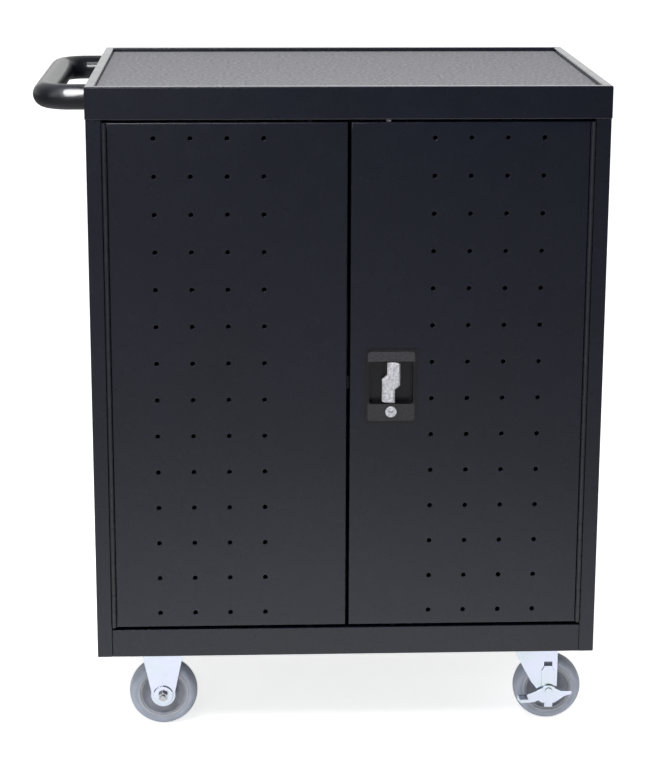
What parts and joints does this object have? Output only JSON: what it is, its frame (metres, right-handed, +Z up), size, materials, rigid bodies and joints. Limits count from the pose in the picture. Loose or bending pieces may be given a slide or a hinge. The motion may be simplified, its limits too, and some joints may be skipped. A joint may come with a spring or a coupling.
{
  "type": "laptop charging cart",
  "caption": "Steel laptop charging cart on casters, with perforated hinged doors, a recessed turn-handle lock, a rimmed top with a rubber mat and a side push handle.",
  "frame": {"origin": "on the floor, under the middle of the cart including its push handle", "axes": "+Z up, -Y towards the front doors, -X towards the push handle"},
  "size_m": [0.81, 0.4886, 0.9633],
  "materials": {
    "paint": "satin blue-black powder coat",
    "hinge_steel": "painted over with the cabinet, worn on the knuckles",
    "zinc": "bright zinc plate",
    "satin_metal": "satin cast zinc",
    "black_plastic": "fine moulded grain",
    "gloss_black": "glossy black",
    "mat_rubber": "grey pebbled rubber",
    "tyre_rubber": "grey non-marking rubber",
    "hub_plastic": "moulded grey plastic",
    "rack_plastic": "moulded dark grey plastic"
  },
  "bodies": {
    "cabinet": {"top_tray": "paint", "top_mat": "mat_rubber", "left_side_panel": "paint", "right_side_panel": "paint", "base_pan": "paint", "left_caster_channel": "paint", "right_caster_channel": "paint", "middle_shelf": "paint", "back_partition": "paint", "cord_grommet": "black_plastic", "push_handle": "gloss_black", "lower_divider_rack": "rack_plastic", "upper_divider_rack": "rack_plastic", "lower_power_strip": "black_plastic", "upper_power_strip": "black_plastic", "left_hinge_frame_leaf": "hinge_steel", "left_hinge_pin": "hinge_steel", "right_hinge_frame_leaf": "hinge_steel", "right_hinge_pin": "hinge_steel", "rear_hinge_frame_leaf": "hinge_steel", "rear_hinge_pin": "hinge_steel", "front_left_caster_fork": "zinc", "front_left_caster_axle": "zinc", "rear_left_caster_fork": "zinc", "rear_left_caster_axle": "zinc", "front_right_caster_plate": "zinc", "rear_right_caster_plate": "zinc"},
    "lower_switch": {"lower_power_switch": "gloss_black"},
    "upper_switch": {"upper_power_switch": "gloss_black"},
    "left_door": {"left_door": "paint", "left_hinge_door_leaf": "hinge_steel"},
    "left_top_bolt": {"left_top_bolt_pin": "zinc"},
    "left_bottom_bolt": {"left_bottom_bolt_pin": "zinc"},
    "right_door": {"right_door": "paint", "right_hinge_door_leaf": "hinge_steel", "lock_pan": "black_plastic", "top_rod_guide": "black_plastic", "bottom_rod_guide": "black_plastic"},
    "turn_handle": {"turn_handle": "satin_metal", "latch_cam": "zinc"},
    "key_plug": {"lock_cylinder": "satin_metal"},
    "top_latch_rod": {"top_latch_rod_bar": "zinc"},
    "bottom_latch_rod": {"bottom_latch_rod_bar": "zinc"},
    "rear_door": {"rear_door": "paint", "rear_hinge_door_leaf": "hinge_steel"},
    "rear_lock": {"rear_lock_cylinder": "satin_metal"},
    "front_left_wheel": {"front_left_caster_tyre": "tyre_rubber", "front_left_caster_hub": "hub_plastic"},
    "rear_left_wheel": {"rear_left_caster_tyre": "tyre_rubber", "rear_left_caster_hub": "hub_plastic"},
    "front_right_wheel": {"front_right_caster_tyre": "tyre_rubber", "front_right_caster_hub": "hub_plastic"},
    "rear_right_wheel": {"rear_right_caster_tyre": "tyre_rubber", "rear_right_caster_hub": "hub_plastic"},
    "front_right_swivel": {"front_right_caster_fork": "zinc", "front_right_caster_axle": "zinc"},
    "front_right_brake": {"front_right_caster_brake_lever": "zinc"},
    "rear_right_swivel": {"rear_right_caster_fork": "zinc", "rear_right_caster_axle": "zinc"},
    "rear_right_brake": {"rear_right_caster_brake_lever": "zinc"}
  },
  "joints": [
    {"name": "left_door_swing", "type": "hinge", "parent": "cabinet", "child": "left_door", "pos_m": [-0.29877, -0.2417, 0.1733], "axis": [0, 0, -1], "range_deg": [0, 175]},
    {"name": "right_door_swing", "type": "hinge", "parent": "cabinet", "child": "right_door", "pos_m": [0.37873, -0.2417, 0.1733], "axis": [0, 0, 1], "range_deg": [0, 175]},
    {"name": "rear_door_swing", "type": "hinge", "parent": "cabinet", "child": "rear_door", "pos_m": [0.37873, 0.2417, 0.1733], "axis": [0, 0, -1], "range_deg": [0, 175]},
    {"name": "handle_turn", "type": "hinge", "parent": "right_door", "child": "turn_handle", "pos_m": [0.10098, -0.2425, 0.5403], "axis": [0, -1, 0], "range_deg": [0, 90]},
    {"name": "top_rod_slide", "type": "slide", "parent": "right_door", "child": "top_latch_rod", "axis": [0, 0, -1], "range_m": [0, 0.0142]},
    {"name": "bottom_rod_slide", "type": "slide", "parent": "right_door", "child": "bottom_latch_rod", "axis": [0, 0, 1], "range_m": [0, 0.0142]},
    {"name": "key_turn", "type": "hinge", "parent": "right_door", "child": "key_plug", "pos_m": [0.10098, -0.2425, 0.4977], "axis": [0, -1, 0], "range_deg": [0, 90]},
    {"name": "left_top_bolt_slide", "type": "slide", "parent": "left_door", "child": "left_top_bolt", "axis": [0, 0, -1], "range_m": [0, 0.012]},
    {"name": "left_bottom_bolt_slide", "type": "slide", "parent": "left_door", "child": "left_bottom_bolt", "axis": [0, 0, 1], "range_m": [0, 0.012]},
    {"name": "rear_lock_turn", "type": "hinge", "parent": "rear_door", "child": "rear_lock", "pos_m": [-0.27602, 0.2405, 0.54305], "axis": [0, -1, 0], "range_deg": [0, 90]},
    {"name": "lower_switch_rock", "type": "hinge", "parent": "cabinet", "child": "lower_switch", "pos_m": [0.29598, 0.1635, 0.3188], "axis": [0, 0, 1], "range_deg": [-7, 7]},
    {"name": "upper_switch_rock", "type": "hinge", "parent": "cabinet", "child": "upper_switch", "pos_m": [0.29598, 0.1635, 0.69305], "axis": [0, 0, 1], "range_deg": [-7, 7]},
    {"name": "front_left_wheel_spin", "type": "hinge", "parent": "cabinet", "child": "front_left_wheel", "pos_m": [-0.23102, -0.1845, 0.05052], "axis": [0, 1, 0], "continuous": true},
    {"name": "rear_left_wheel_spin", "type": "hinge", "parent": "cabinet", "child": "rear_left_wheel", "pos_m": [-0.23102, 0.1845, 0.05052], "axis": [0, 1, 0], "continuous": true},
    {"name": "front_right_swivel_turn", "type": "hinge", "parent": "cabinet", "child": "front_right_swivel", "pos_m": [0.31098, -0.1845, 0.116], "axis": [0, 0, 1], "continuous": true},
    {"name": "front_right_wheel_spin", "type": "hinge", "parent": "front_right_swivel", "child": "front_right_wheel", "pos_m": [0.34448, -0.1845, 0.05052], "axis": [0, 1, 0], "continuous": true},
    {"name": "front_right_brake_press", "type": "hinge", "parent": "front_right_swivel", "child": "front_right_brake", "pos_m": [0.34448, -0.2083, 0.05052], "axis": [0, -1, 0], "range_deg": [0, 25]},
    {"name": "rear_right_swivel_turn", "type": "hinge", "parent": "cabinet", "child": "rear_right_swivel", "pos_m": [0.31098, 0.1845, 0.116], "axis": [0, 0, 1], "continuous": true},
    {"name": "rear_right_wheel_spin", "type": "hinge", "parent": "rear_right_swivel", "child": "rear_right_wheel", "pos_m": [0.34448, 0.1845, 0.05052], "axis": [0, 1, 0], "continuous": true},
    {"name": "rear_right_brake_press", "type": "hinge", "parent": "rear_right_swivel", "child": "rear_right_brake", "pos_m": [0.34448, 0.2083, 0.05052], "axis": [0, -1, 0], "range_deg": [0, 25]}
  ],
  "couplings": [
    {"joint": "top_rod_slide", "follows": "handle_turn", "m_per_rad": 0.009003},
    {"joint": "bottom_rod_slide", "follows": "handle_turn", "m_per_rad": 0.009003}
  ]
}
